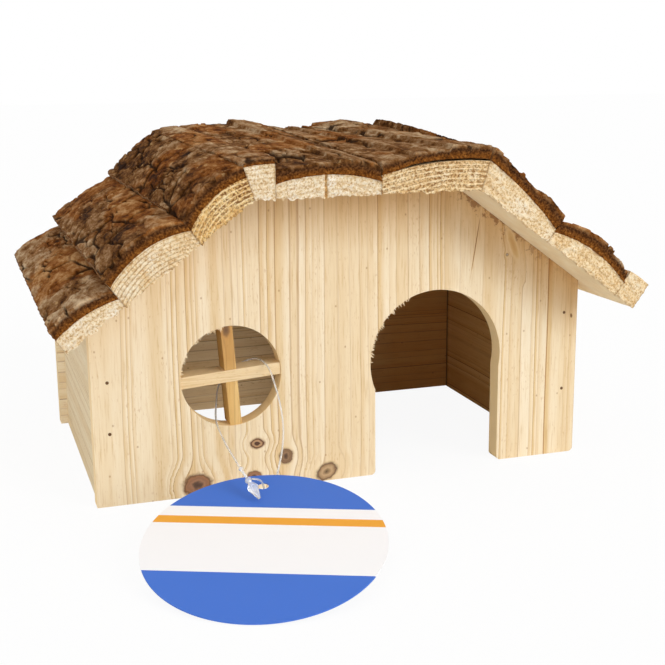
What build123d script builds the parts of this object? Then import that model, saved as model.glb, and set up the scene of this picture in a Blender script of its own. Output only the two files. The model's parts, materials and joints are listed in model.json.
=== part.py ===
from build123d import *
from dataclasses import dataclass
from math import cos, hypot, pi, radians, sin, sqrt, tan
import os

# Small animal house: two gable panels, two side walls, a round window with a cross of bars, a keyhole
# doorway, a roof of bark-covered log slices, and a round swing tag on a nylon loop.
# Millimetres, +Z up, front towards -Y. The origin is on the floor under the middle of the house.

# Gable panels
panel_width = 220.0
panel_thickness = 8.0
eave_height = 81.0
top_height = 127.0
top_width = 95.0
house_depth = 134.0
back_panel_lip = 2.5

# Side walls, which stand between the two panels
side_wall_thickness = 8.0
side_wall_inset = 1.0
side_wall_height = 81.0

# Doorway: a straight slot below a round arch that is a little wider than the slot and off its middle
door_x = 41.4
door_width = 59.0
door_arch_x = 40.6
door_arch_radius = 30.9
door_arch_height = 50.4
door_corner_radius = 2.0

# Window and its cross of two bars, halved where they cross
window_x = -52.0
window_height = 51.0
window_radius = 21.5
bar_width = 5.0
bar_depth = 10.0
bar_recess = 0.5
bar_tilt = 4.0
bar_fit = 0.05

# Roof boards. Each is a slice of a log, flat side down, with its bark on.
roof_overhang = 29.0
eave_overhang = 13.5
board_seam = 0.4
filler_width = 8.0
bare_edge_width = 11.0
wood_thickness = 12.0
bark_thickness = 5.5
wood_rise_share = 0.7
left_width_shares = (0.29, 0.405, 0.305)
top_width_shares = (0.5, 0.5)
right_width_shares = (0.42, 0.58)

# Nails: plain wire brads, driven through the panels into the walls and through the boards into the panels
nail_radius = 0.7
nail_fit = 0.02
wall_nail_length = 28.0
wall_nail_inset = 6.6
front_left_nail_heights = (31.1, 52.8)
front_right_nail_heights = (30.9, 66.6)
back_nail_heights = (25.0, 60.0)
roof_nail_bite = 12.0
roof_nail_sink_share = 0.5

# Round card tag, which leans from the floor up to its loop
tag_radius = 44.5
tag_thickness = 0.5
tag_tilt = 12.8
tag_turn = 23.0
tag_foot_x = -77.6
tag_foot_y = -188.6
tag_floor_gap = 0.35
tag_hole_radius = 2.25
tag_hole_edge = 8.0
tag_hole_side = -5.3

# Nylon loop and its lock, which lies on the tag in front of the hole with its tail raised
loop_diameter = 0.8
loop_arc_share = 0.45
lock_length = 9.9
lock_width = 4.5
lock_height = 3.0
lock_tip_width = 1.4
lock_tail_width = 2.2
lock_tail_length = 2.0
lock_tip_side = 0.3
lock_tip_front = 11.3
lock_tip_gap = 0.3
lock_turn = 38.6
lock_rise = 27.0

# The loop's route: lock, window's lower left, behind the cross, over the bar at its upper right, down
# in front, under the tag's rim and up through its hole to the lock
loop_route = [
    (-58.72, -116.82, 23.96),
    (-59.6, -114.6, 25.7),
    (-61.5, -100.0, 30.1),
    (-61.9, -90.0, 32.5),
    (-60.2, -70.0, 33.5),
    (-57.0, -58.5, 38.0),
    (-55.3, -54.8, 44.5),
    (-50.5, -54.4, 50.5),
    (-43.8, -54.4, 53.6),
    (-38.4, -57.0, 55.6),
    (-36.9, -70.0, 55.2),
    (-36.4, -77.2, 49.6),
    (-35.2, -81.0, 42.0),
    (-35.5, -87.0, 34.5),
    (-37.8, -94.5, 28.0),
    (-42.3, -103.6, 22.2),
    (-43.6, -102.6, 14.6),
    (-47.3, -106.1, 9.2),
    (-49.8, -110.2, 11.6),
    (-51.06, -112.52, 18.86),
    (-53.1, -113.9, 21.9),
    (-56.77, -117.37, 23.42),
]

# Worked out from the sizes above
front_y = -house_depth / 2
back_y = house_depth / 2
cut_overrun = panel_thickness
slope_run = (panel_width - top_width) / 2
slope_rise = top_height - eave_height
slope_length = hypot(slope_run, slope_rise)
slope_cos = slope_run / slope_length
slope_sin = slope_rise / slope_length
mitre_share = slope_sin / (1 + slope_cos)
roof_length = house_depth + 2 * roof_overhang
slope_boards_run = slope_length + eave_overhang - board_seam / 2
top_boards_run = top_width - filler_width - 2 * board_seam


@dataclass
class Board:
    """One roof board in its own slice. Its shares give the height of the wood, and the depth of its
    bark, at the first edge, the crown and the last edge, counted away from the fold, or from left to
    right on top. Rise shares are how much thicker it is there at its back end, in thicknesses of wood.
    Ledge shares are where a ledge of the bark starts, across the board, and how far it then stands up,
    in thicknesses of bark. A bare edge is a raised last strip with no bark."""
    name: str
    width: float
    wood_shares: tuple
    bark_shares: tuple
    rise_shares: tuple
    ledge_shares: tuple = ()
    crown_share: float = 0.5
    bare_width: float = 0.0
    bare_share: float = 1.0


def widths_of(run, shares):
    """Widths of boards that fill a run side by side, with a seam between them."""
    wood = run - board_seam * (len(shares) - 1)
    return [wood * share for share in shares]


left_widths = widths_of(slope_boards_run, left_width_shares)
top_widths = widths_of(top_boards_run, top_width_shares)
right_widths = widths_of(slope_boards_run, right_width_shares)
left_boards = [
    Board("left_upper_board", left_widths[0], (0.72, 0.91, 0.52), (0.82, 1.0, 0.82), (0.37, 0.07, 0.4),
          crown_share=0.3),
    Board("left_middle_board", left_widths[1], (0.55, 1.0, 0.74), (0.82, 1.0, 0.91), (0.12, -0.15, 0.16),
          crown_share=0.55),
    Board("left_lower_board", left_widths[2], (0.31, 0.6, 0.54), (0.73, 0.82, 0.73), (0.15, 0.11, 0.17),
          crown_share=0.6),
]
top_boards = [
    Board("top_filler_strip", filler_width, (1.05, 1.13, 1.13), (0.29, 0.44, 0.44), (0.3, 0.3, 0.3)),
    Board("top_left_board", top_widths[0], (0.47, 0.725, 0.44), (1.09, 0.89, 0.85), (0.64, 0.58, 0.74),
          ledge_shares=((0.61, 0.3),)),
    Board("top_right_board", top_widths[1], (0.625, 1.0, 0.967), (1.02, 0.6, 0.65), (0.6, 0.09, 0.17),
          ledge_shares=((0.31, 0.27), (0.636, 0.54)), crown_share=0.6),
]
right_boards = [
    Board("right_upper_board", right_widths[0], (0.975, 0.89, 0.517), (0.91, 0.945, 0.95), (0.17, 0.08, 0),
          ledge_shares=((0.72, 0.3),), crown_share=0.35),
    Board("right_lower_board", right_widths[1], (0.4, 0.74, 0.51), (0.945, 1.07, 1.1), (0.05, 0.05, 0.05),
          ledge_shares=((0.68, -0.3),), bare_width=bare_edge_width, bare_share=1.025),
]


@dataclass
class Slope:
    """One face of the roof: where it starts, the way it runs, and the way out of it."""
    start_x: float
    start_z: float
    along: tuple
    out: tuple

    def point(self, along, out, y):
        """The point so far along the face and so far out of it, at depth y."""
        x = self.start_x + along * self.along[0] + out * self.out[0]
        z = self.start_z + along * self.along[1] + out * self.out[1]
        return Vector(x, y, z)


left_slope = Slope(-top_width / 2, top_height, (-slope_cos, -slope_sin), (-slope_sin, slope_cos))
top_face = Slope(-top_width / 2, top_height, (1, 0), (0, 1))
right_slope = Slope(top_width / 2, top_height, (slope_cos, -slope_sin), (slope_sin, slope_cos))


def cylinder_between(start, end, radius):
    """A round bar from one point to another."""
    way = end - start
    base = Plane(origin=start, z_dir=way)
    return Solid.make_cylinder(radius, way.length, base)


def gable(width):
    """A panel's outline, from its feet up both edges to the flat top, as a solid at the front."""
    half = width / 2
    edge_height = top_height - (half - top_width / 2) * slope_rise / slope_run
    corners = [(-half, 0), (half, 0), (half, edge_height), (top_width / 2, top_height),
               (-top_width / 2, top_height), (-half, edge_height)]
    outline = Wire.make_polygon([Vector(x, front_y, z) for x, z in corners], close=True)
    return Solid.extrude(Face(outline), Vector(0, panel_thickness, 0))


def through_front(x, z, radius):
    """A round cutter through the front panel."""
    start = Vector(x, front_y - cut_overrun, z)
    return cylinder_between(start, start + Vector(0, panel_thickness + 2 * cut_overrun, 0), radius)


def make_front_panel():
    """Front gable with its window hole and keyhole doorway, its feet eased at the doorway."""
    slot_depth = panel_thickness + 2 * cut_overrun
    slot_corner = Vector(door_x - door_width / 2, front_y - cut_overrun, -cut_overrun)
    slot = Solid.make_box(door_width, slot_depth, door_arch_height + cut_overrun, Plane(slot_corner))
    panel = gable(panel_width) - slot
    panel -= through_front(door_arch_x, door_arch_height, door_arch_radius)
    feet = panel.edges().filter_by(Axis.Y).group_by(Axis.Z)[0]
    panel = fillet(feet.sort_by(Axis.X)[1:], door_corner_radius)
    return panel - through_front(window_x, window_height, window_radius)


def make_side_wall(side):
    """A side wall between the panels, on side -1 or 1."""
    outer = panel_width / 2 - side_wall_inset
    low_x = outer - side_wall_thickness if side > 0 else -outer
    corner = Vector(low_x, front_y + panel_thickness, 0)
    length = house_depth - 2 * panel_thickness
    return Solid.make_box(side_wall_thickness, length, side_wall_height, Plane(corner))


def make_window_bars():
    """The two bars of the window, halved into each other and turned a little in the round hole."""
    middle = Vector(window_x, front_y + bar_recess + bar_depth / 2, window_height)
    frame = Plane(origin=middle, x_dir=(cos(radians(bar_tilt)), 0, sin(radians(bar_tilt))), z_dir=(0, -1, 0))
    hole_fit = Pos(middle) * Rot(90, 0, 0) * Cylinder(window_radius - bar_fit, 2 * bar_depth)
    lap = bar_width + 2 * bar_fit
    across = frame * Box(2 * window_radius, bar_width, bar_depth)
    upright = frame * Box(bar_width, 2 * window_radius, bar_depth)
    half_lap = bar_depth / 2 + bar_fit
    behind = frame * Pos(0, 0, bar_fit - half_lap) * Box(lap, lap, 2 * half_lap)
    before = frame * Pos(0, 0, half_lap - bar_fit) * Box(lap, lap, 2 * half_lap)
    return across & hole_fit - behind, upright & hole_fit - before


def arc_height(first, crown, last, along):
    """Height at a place along the arc through three points, from the circle that they lie on."""
    (ax, ay), (bx, by), (cx, cy) = first, crown, last
    spread = 2 * (ax * (by - cy) + bx * (cy - ay) + cx * (ay - by))
    a2, b2, c2 = ax * ax + ay * ay, bx * bx + by * by, cx * cx + cy * cy
    mid_x = (a2 * (by - cy) + b2 * (cy - ay) + c2 * (ay - by)) / spread
    mid_y = (a2 * (cx - bx) + b2 * (ax - cx) + c2 * (bx - ax)) / spread
    radius = hypot(ax - mid_x, ay - mid_y)
    side = 1 if by > mid_y else -1
    return mid_y + side * sqrt(radius ** 2 - (along - mid_x) ** 2)


def board_arcs(board, start, first_lean, last_lean, depth_share):
    """Three points each of the wood's top and the bark's top, as places along and out of the face, at a
    share of the roof's length from its front end."""
    wood_end = start + board.width - board.bare_width
    crown_at = start + board.crown_share * (wood_end - start)

    def arc(first, crown, last):
        return [(start - first * first_lean, first), (crown_at, crown), (wood_end + last * last_lean, last)]

    rises = [wood_thickness * share * depth_share for share in board.rise_shares]
    heights = [wood_thickness * share + wood_rise_share * rise
               for share, rise in zip(board.wood_shares, rises)]
    depths = [bark_thickness * share + (1 - wood_rise_share) * rise
              for share, rise in zip(board.bark_shares, rises)]
    wood = arc(*heights)
    bark = arc(*(height + depth for height, depth in zip(heights, depths)))
    return wood, bark


def ledges_of(board, arc):
    """The bark's top, cut into ledges: three points of the arc of each, from the first edge on."""
    first, last = arc[0][0], arc[2][0]
    starts = [0] + [share for share, lift in board.ledge_shares]
    lifts = [0] + [bark_thickness * lift for share, lift in board.ledge_shares]
    for low, high, lift in zip(starts, starts[1:] + [1], lifts):
        places = [first + (last - first) * share for share in (low, (low + high) / 2, high)]
        yield [(along, arc_height(*arc, along) + lift) for along in places]


def board_ends(slope, board, start, first_lean, last_lean, depth_share):
    """The outlines of a board's wood and of its bark at a share of the roof's length. A board with a
    bare edge rises in a step past its bark."""
    y = roof_length * (depth_share - 1 / 2)
    wood, bark = board_arcs(board, start, first_lean, last_lean, depth_share)
    wood_top = [slope.point(along, out, y) for along, out in wood]
    end = start + board.width
    foot = [slope.point(end, 0, y), slope.point(start, 0, y)]
    if board.bare_width:
        bare_height = wood_thickness * board.bare_share
        step = slope.point(end - board.bare_width, bare_height, y)
        corner = slope.point(end, bare_height, y)
        foot = [step, corner] + foot
    corners = [wood_top[2]] + foot + [wood_top[0]]
    wood_edges = [ThreePointArc(*wood_top)] + [Line(a, b) for a, b in zip(corners, corners[1:])]
    bark_edges = [ThreePointArc(*wood_top)]
    before = wood_top[0]
    for ledge in ledges_of(board, bark):
        points = [slope.point(along, out, y) for along, out in ledge]
        bark_edges += [Line(before, points[0]), ThreePointArc(*points)]
        before = points[2]
    bark_edges.append(Line(before, wood_top[2]))
    return Wire(wood_edges), Wire(bark_edges)


def make_board(slope, board, start, first_lean, last_lean):
    """A board's wood and its bark, each drawn out straight from its front outline to its back one."""
    front = board_ends(slope, board, start, first_lean, last_lean, 0)
    back = board_ends(slope, board, start, first_lean, last_lean, 1)
    return [Solid.make_loft(outlines, ruled=True) for outlines in zip(front, back)]


def roof_nails_of(slope, board, start, first_lean, last_lean, reach):
    """The ends of a board's two nails, one into the edge of each panel, halfway along the stretch of
    the board that lies on the panel."""
    at = (start + min(start + board.width, reach)) / 2
    for y in (front_y + panel_thickness / 2, back_y - panel_thickness / 2):
        wood, bark = board_arcs(board, start, first_lean, last_lean, y / roof_length + 1 / 2)
        low = arc_height(*wood, at)
        top = low + roof_nail_sink_share * (arc_height(*bark, at) - low)
        yield slope.point(at, -roof_nail_bite, y), slope.point(at, top, y)


def wall_nail_ends():
    """The ends of each nail that goes through a gable panel into the end of a side wall."""
    outer = panel_width / 2 - wall_nail_inset
    rows = [(-outer, front_left_nail_heights), (outer, front_right_nail_heights)]
    for x, heights in rows:
        for z in heights:
            yield Vector(x, front_y, z), Vector(x, front_y + wall_nail_length, z)
    for x in (-outer, outer):
        for z in back_nail_heights:
            yield Vector(x, back_y, z), Vector(x, back_y - wall_nail_length, z)


def drive(nodes, names, ends):
    """Cut a close hole for a nail in each named node that it passes, and give the nail."""
    start, end = ends
    hole = cylinder_between(start, end, nail_radius + nail_fit)
    for name in names:
        nodes[name] = nodes[name] - hole
    return cylinder_between(start, end, nail_radius)


def tag_frame():
    """The tag's own plane: x across it, y up its slope, z out of its printed face."""
    turn, tilt = radians(tag_turn), radians(tag_tilt)
    across = Vector(cos(turn), -sin(turn), 0)
    up = Vector(sin(turn) * cos(tilt), cos(turn) * cos(tilt), sin(tilt))
    foot = Vector(tag_foot_x, tag_foot_y, tag_floor_gap + tag_thickness / 2 * cos(tilt))
    return Plane(origin=foot + up * tag_radius, x_dir=across, z_dir=across.cross(up))


def hole_frame():
    """The same plane with its middle in the tag's hole."""
    frame = tag_frame()
    hole = frame.from_local_coords(Vector(tag_hole_side, tag_radius - tag_hole_edge, 0))
    return Plane(origin=hole, x_dir=frame.x_dir, z_dir=frame.z_dir)


def make_tag():
    """A round card with a punched hole near its upper edge."""
    disc = tag_frame() * Cylinder(tag_radius, tag_thickness)
    return disc - hole_frame() * Cylinder(tag_hole_radius, 2 * tag_thickness)


def make_lock():
    """The loop's lock: a flat dart whose tip lies close to the tag, in front of the hole, and whose tail
    stands up to the loop."""
    frame = hole_frame()
    turn, rise = radians(lock_turn), radians(lock_rise)
    lift = tag_thickness / 2 + lock_tip_gap + lock_height / 2 * cos(rise)
    tip = frame.from_local_coords(Vector(lock_tip_side, -lock_tip_front, lift))
    across = frame.x_dir * cos(turn) + frame.y_dir * sin(turn)
    level = frame.y_dir * cos(turn) - frame.x_dir * sin(turn)
    back = level * cos(rise) + frame.z_dir * sin(rise)
    dart = Plane(origin=tip, x_dir=across, z_dir=across.cross(back))
    shoulder = lock_length - lock_tail_length
    right = [(lock_tip_width / 2, 0), (lock_width / 2, shoulder), (lock_tail_width / 2, shoulder),
             (lock_tail_width / 2, lock_length)]
    corners = right + [(-x, y) for x, y in reversed(right)]
    points = [dart.from_local_coords(Vector(x, y, -lock_height / 2)) for x, y in corners]
    return Solid.extrude(Face(Wire.make_polygon(points, close=True)), dart.z_dir * lock_height)


def make_loop():
    """The nylon loop: one tube along its route, with an arc at each corner as large as its runs allow."""
    points = [Vector(*point) for point in loop_route]
    radii = []
    for before, here, after in zip(points, points[1:], points[2:]):
        turn = radians((here - before).get_angle(after - here))
        shorter = min((here - before).length, (after - here).length)
        radii.append(loop_arc_share * shorter / tan(turn / 2))
    path = FilletPolyline(*points, radius=radii)
    tube = sweep(Plane(origin=path @ 0, z_dir=path % 0) * Circle(loop_diameter / 2), path=path)
    plain_volume = pi * loop_diameter ** 2 / 4 * path.length
    print("loop radii", [round(radius, 1) for radius in radii])
    print("loop length", round(path.length, 1), "volume share", round(tube.volume / plain_volume, 4))
    return tube


nodes = {
    "front_panel": make_front_panel(),
    "back_panel": Pos(0, house_depth - panel_thickness, 0) * gable(panel_width + 2 * back_panel_lip),
    "left_side_wall": make_side_wall(-1),
    "right_side_wall": make_side_wall(1),
}
nodes["window_bar_across"], nodes["window_bar_upright"] = make_window_bars()

roof_faces = [
    (left_slope, left_boards, mitre_share, 0, slope_length),
    (top_face, top_boards, mitre_share, mitre_share, top_width),
    (right_slope, right_boards, mitre_share, 0, slope_length),
]
roof_nails = []
for slope, boards, fold_lean, far_lean, reach in roof_faces:
    start = board_seam / 2
    for board in boards:
        first_lean = fold_lean if board is boards[0] else 0
        last_lean = far_lean if board is boards[-1] else 0
        bark_name = board.name.replace("_board", "_bark").replace("_strip", "_bark")
        nodes[board.name], nodes[bark_name] = make_board(slope, board, start, first_lean, last_lean)
        for ends in roof_nails_of(slope, board, start, first_lean, last_lean, reach):
            panel_name = "front_panel" if ends[0].Y < 0 else "back_panel"
            roof_nails.append(drive(nodes, (panel_name, board.name, bark_name), ends))
        start += board.width + board_seam

wall_nails = []
for ends in wall_nail_ends():
    panel_name = "front_panel" if ends[0].Y < 0 else "back_panel"
    wall_name = "left_side_wall" if ends[0].X < 0 else "right_side_wall"
    wall_nails.append(drive(nodes, (panel_name, wall_name), ends))
nodes["roof_nails"] = Compound(roof_nails)
nodes["wall_nails"] = Compound(wall_nails)

nodes["swing_tag"] = make_tag()
nodes["tag_lock"] = make_lock()
nodes["tag_loop"] = make_loop()

os.makedirs("parts", exist_ok=True)
for name, shape in nodes.items():
    export_step(shape, f"parts/{name}.step")
print("tag swivel", hole_frame().origin, hole_frame().z_dir)
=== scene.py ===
import json
from dataclasses import dataclass
from functools import partial
from math import cos, hypot, radians, sin

import bpy
import numpy as np
from mathutils import Matrix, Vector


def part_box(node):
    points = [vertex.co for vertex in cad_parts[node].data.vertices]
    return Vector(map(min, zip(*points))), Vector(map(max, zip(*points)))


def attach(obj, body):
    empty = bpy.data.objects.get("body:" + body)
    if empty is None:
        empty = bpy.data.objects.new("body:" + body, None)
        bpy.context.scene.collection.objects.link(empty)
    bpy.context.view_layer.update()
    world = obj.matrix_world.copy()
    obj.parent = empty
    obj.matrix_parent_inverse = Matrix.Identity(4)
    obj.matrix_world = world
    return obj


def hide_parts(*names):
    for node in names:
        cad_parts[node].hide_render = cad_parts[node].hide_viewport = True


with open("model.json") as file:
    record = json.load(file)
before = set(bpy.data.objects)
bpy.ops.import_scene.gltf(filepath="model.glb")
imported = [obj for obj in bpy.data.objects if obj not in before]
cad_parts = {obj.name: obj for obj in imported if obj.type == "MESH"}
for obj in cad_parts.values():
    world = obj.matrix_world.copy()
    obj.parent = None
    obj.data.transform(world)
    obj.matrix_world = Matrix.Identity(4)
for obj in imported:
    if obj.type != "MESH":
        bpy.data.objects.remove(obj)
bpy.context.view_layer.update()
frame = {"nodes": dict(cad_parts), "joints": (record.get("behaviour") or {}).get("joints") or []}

# Sizes of the house in millimetres, as the CAD part has them
MM = 0.001
PANEL_WIDTH = 220.0
EAVE_HEIGHT = 81.0
TOP_HEIGHT = 127.0
TOP_WIDTH = 95.0
HOUSE_DEPTH = 134.0
ROOF_OVERHANG = 29.0
EAVE_OVERHANG = 13.5
BOARD_SEAM = 0.4
FILLER_WIDTH = 8.0
BARE_EDGE_WIDTH = 11.0
WOOD_THICKNESS = 12.0
BARK_THICKNESS = 5.5
WINDOW_X, WINDOW_Z, WINDOW_RADIUS = -52.0, 51.0, 21.5
DOOR_ARCH_X, DOOR_ARCH_Z, DOOR_ARCH_RADIUS = 40.6, 50.4, 30.9
TAG_TILT, TAG_TURN, TAG_THICKNESS, TAG_HALF_PRINT = 12.8, 23.0, 0.5, 45
LOCK_LENGTH, LOCK_HEIGHT = 9.9, 3.0
LOCK_TIP_SIDE, LOCK_TIP_FRONT, LOCK_TIP_GAP = 0.3, 11.3, 0.3
LOCK_TURN, LOCK_RISE = 38.6, 27.0

# The lock's half widths and half heights at stations from its tip, and the groove down its top
LOCK_STATIONS = (0.0, 0.3, 5.2, 5.8, 7.3, 7.9, 8.5, 9.3, 9.9)
LOCK_HALF_WIDTHS = (0.25, 0.6, 2.2, 2.15, 1.1, 0.85, 1.25, 1.3, 0.7)
LOCK_HALF_HEIGHTS = (0.2, 0.5, 1.4, 1.4, 0.95, 0.8, 1.1, 1.15, 0.6)
LOCK_SQUARENESS, LOCK_ROWS, LOCK_SIDES = 0.75, 100, 40
GROOVE_DEPTH, GROOVE_HALF_WIDTH = 0.6, 0.4
GROOVE_STARTS, GROOVE_ENDS = (1.8, 2.4), (5.6, 6.2)

# The tube behind the lock, with a collar
SLEEVE_LENGTH, SLEEVE_RADIUS, SLEEVE_ROWS, SLEEVE_SIDES = 8.0, 0.55, 60, 16
SLEEVE_COLLAR, SLEEVE_SWELL, SLEEVE_COLLAR_WIDTH = 5.2, 0.45, 0.6

# The camera, found from the photograph's straight edges
CAMERA_PLACE = (-158.54, -528.65, 175.99)
CAMERA_YAW, CAMERA_PITCH, CAMERA_ROLL = 18.12, -12.75, -0.56
FOCAL_PIXELS, IMAGE_PIXELS, SENSOR = 1169.2, 665, 36.0

# The loop's route, the same points as the CAD tube's
LOOP_DIAMETER = 0.8
LOOP_ROUTE = [
    (-58.72, -116.82, 23.96),
    (-59.6, -114.6, 25.7),
    (-61.5, -100.0, 30.1),
    (-61.9, -90.0, 32.5),
    (-60.2, -70.0, 33.5),
    (-57.0, -58.5, 38.0),
    (-55.3, -54.8, 44.5),
    (-50.5, -54.4, 50.5),
    (-43.8, -54.4, 53.6),
    (-38.4, -57.0, 55.6),
    (-36.9, -70.0, 55.2),
    (-36.4, -77.2, 49.6),
    (-35.2, -81.0, 42.0),
    (-35.5, -87.0, 34.5),
    (-37.8, -94.5, 28.0),
    (-42.3, -103.6, 22.2),
    (-43.6, -102.6, 14.6),
    (-47.3, -106.1, 9.2),
    (-49.8, -110.2, 11.6),
    (-51.06, -112.52, 18.86),
    (-53.1, -113.9, 21.9),
    (-56.77, -117.37, 23.42),
]


def linear(hex_colour):
    """An sRGB hex colour as linear red, green, blue and alpha."""
    values = [int(hex_colour[i:i + 2], 16) / 255 for i in (1, 3, 5)]
    return [v / 12.92 if v <= 0.04045 else ((v + 0.055) / 1.055) ** 2.4 for v in values] + [1.0]


# Camera

def make_camera():
    """A camera at the photograph's place, turned by yaw, pitch and roll."""
    yaw, pitch, roll = (radians(a) for a in (CAMERA_YAW, CAMERA_PITCH, CAMERA_ROLL))
    ahead = np.array([sin(yaw) * cos(pitch), cos(yaw) * cos(pitch), sin(pitch)])
    level = np.array([cos(yaw), -sin(yaw), 0.0])
    above = np.cross(level, ahead)
    right = cos(roll) * level + sin(roll) * above
    up = cos(roll) * above - sin(roll) * level
    camera = bpy.data.objects.new("camera", bpy.data.cameras.new("camera"))
    camera.data.sensor_width = SENSOR
    camera.data.lens = FOCAL_PIXELS / IMAGE_PIXELS * SENSOR
    turn = Matrix(np.stack([right, up, -ahead], axis=1).tolist()).to_4x4()
    place = Matrix.Translation([v * MM for v in CAMERA_PLACE])
    camera.matrix_world = place @ turn
    bpy.context.collection.objects.link(camera)
    bpy.context.scene.camera = camera


make_camera()


# Nodes and noise

def connect(made, inputs):
    """Set a node's inputs, named in a dict or in their order in a tuple: a socket is linked, a hex colour
    is made linear, and any other value is set."""
    for key, value in inputs.items() if isinstance(inputs, dict) else enumerate(inputs):
        if isinstance(value, bpy.types.NodeSocket):
            made.id_data.links.new(value, made.inputs[key])
        else:
            made.inputs[key].default_value = linear(value) if isinstance(value, str) else value


def add(tree, kind, inputs=(), out=0, stops=(), **settings):
    """Add one shader node of a kind, its operation after a space where it has one, and give an output, or
    all of them where out is None. Settings are its properties, stops a colour ramp's places and colours."""
    kind, _, operation = kind.partition(" ")
    made = tree.nodes.new("ShaderNode" + kind)
    if operation:
        made.operation = operation
    owner = made.color_ramp if stops else made
    for key, value in settings.items():
        setattr(owner, key, value)
    connect(made, inputs)
    if stops:
        for place, _ in stops[1:-1]:
            owner.elements.new(place)
        for element, (place, colour) in zip(sorted(owner.elements, key=lambda e: e.position), stops):
            element.position = place
            element.color = linear(colour)
    return made.outputs if out is None else made.outputs[out]


# Settings of a mix of two colours, and of a colour that is multiplied by another
MIX = {"out": 2, "data_type": "RGBA"}
TINT = {"out": 2, "data_type": "RGBA", "blend_type": "MULTIPLY"}


def new_material(name):
    """A node material with its Principled shader, and add() for its tree."""
    material = bpy.data.materials.new(name)
    material.use_nodes = True
    return material, material.node_tree.nodes["Principled BSDF"], partial(add, material.node_tree)


def per(size):
    """How often a size in millimetres goes into a metre, which is the scale of a pattern of that size."""
    return 1 / (size * MM)


def stretched(node, side, run, sizes):
    """A texture place from two lengths, each divided by its own size in millimetres."""
    return node("CombineXYZ", [node("Math MULTIPLY", (v, per(size))) for v, size in zip((side, run), sizes)])


def lattice(ix, iy, seed):
    """A repeatable random number from 0 to 1 for each whole-number place, by mixing its bits."""
    h = (ix.astype(np.int64) * 374761393 + iy.astype(np.int64) * 668265263 + seed * 974634607) & 0xFFFFFFFF
    h = ((h ^ (h >> 13)) * 1274126177) & 0xFFFFFFFF
    h = ((h ^ (h >> 15)) * 2246822519) & 0xFFFFFFFF
    return ((h ^ (h >> 16)) & 0xFFFFFF) / float(0x1000000)


def noise(x, y, seed):
    """Smooth noise from -1 to 1: random lattice values blended by a smooth step."""
    ix, iy = np.floor(x), np.floor(y)
    fx, fy = x - ix, y - iy
    fx, fy = fx * fx * (3 - 2 * fx), fy * fy * (3 - 2 * fy)
    low = lattice(ix, iy, seed) * (1 - fx) + lattice(ix + 1, iy, seed) * fx
    high = lattice(ix, iy + 1, seed) * (1 - fx) + lattice(ix + 1, iy + 1, seed) * fx
    return 2 * (low * (1 - fy) + high * fy) - 1


def fractal(x, y, seed, octaves=4):
    """Sum of noises, each twice as fine and half as strong as the one before."""
    return sum(noise(x * 2 ** k, y * 2 ** k, seed + 17 * k) * 0.5 ** k for k in range(octaves))


def cells(x, y, seed):
    """Scattered cells: the gap between the two nearest seeds' distances, and the nearest one's own value.
    Each unit square holds one seed, a tenth or more from its sides."""
    ix, iy = np.floor(x), np.floor(y)
    first = np.full(np.shape(x), 9.0)
    second = np.full(np.shape(x), 9.0)
    own = np.zeros(np.shape(x))
    for dx in (-1, 0, 1):
        for dy in (-1, 0, 1):
            cx, cy = ix + dx, iy + dy
            px = cx + 0.1 + 0.8 * lattice(cx, cy, seed)
            py = cy + 0.1 + 0.8 * lattice(cx, cy, seed + 7)
            d = np.hypot(x - px, y - py)
            nearer = d < first
            second = np.where(nearer, first, np.minimum(second, d))
            own = np.where(nearer, lattice(cx, cy, seed + 13), own)
            first = np.where(nearer, d, first)
    return second - first, own


def step(low, high, value):
    """A smooth step from 0 at low to 1 at high."""
    t = np.clip((value - low) / (high - low), 0, 1)
    return t * t * (3 - 2 * t)


# The roof's faces and boards

slope_run = (PANEL_WIDTH - TOP_WIDTH) / 2
slope_rise = TOP_HEIGHT - EAVE_HEIGHT
slope_length = hypot(slope_run, slope_rise)
slope_cos, slope_sin = slope_run / slope_length, slope_rise / slope_length
MITRE = slope_sin / (1 + slope_cos)
ROOF_FRONT = -HOUSE_DEPTH / 2 - ROOF_OVERHANG
ROOF_BACK = HOUSE_DEPTH / 2 + ROOF_OVERHANG

# Each face in X and Z: where it starts, the direction across its boards and the direction outwards
FACES = {
    "left": ((-TOP_WIDTH / 2, TOP_HEIGHT), (-slope_cos, -slope_sin), (-slope_sin, slope_cos)),
    "top": ((-TOP_WIDTH / 2, TOP_HEIGHT), (1, 0), (0, 1)),
    "right": ((TOP_WIDTH / 2, TOP_HEIGHT), (slope_cos, -slope_sin), (slope_sin, slope_cos)),
}
slope_boards = slope_length + EAVE_OVERHANG - BOARD_SEAM / 2
top_boards = TOP_WIDTH - FILLER_WIDTH - 2 * BOARD_SEAM
left_wood = slope_boards - 2 * BOARD_SEAM
top_wood = top_boards - BOARD_SEAM
right_wood = slope_boards - BOARD_SEAM


@dataclass
class Board:
    """One roof board: its face and width, heights of wood and depths of bark in shares of their
    thicknesses, how much it rises towards the back, its bark's ledges, where its crown is and how wide its
    bare edge is. Then its looks: the growth rings' gap and strength, how yellow the wood is, the length
    along the board, depth and roughness of the bark's plates, how far the bark is loose at the ends, where
    its wood is split, a raised lip, a lift of its last side at the back, how ragged its sides are, and how
    pale its bark is."""
    name: str
    face: str
    width: float
    wood_shares: tuple
    bark_shares: tuple
    rise_shares: tuple
    ledge_shares: tuple = ()
    crown_share: float = 0.5
    bare: float = 0.0
    ring_gap: float = 1.6
    ring_strength: float = 0.5
    warmth: float = 0.3
    plate_length: float = 55.0
    plate_depth: float = 1.3
    roughness: float = 0.16
    loose: float = 0.0
    split: float = -1.0
    lip: float = 0.0
    back_lift: float = 0.0
    ragged: float = 0.7
    tone: float = 0.06


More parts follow.
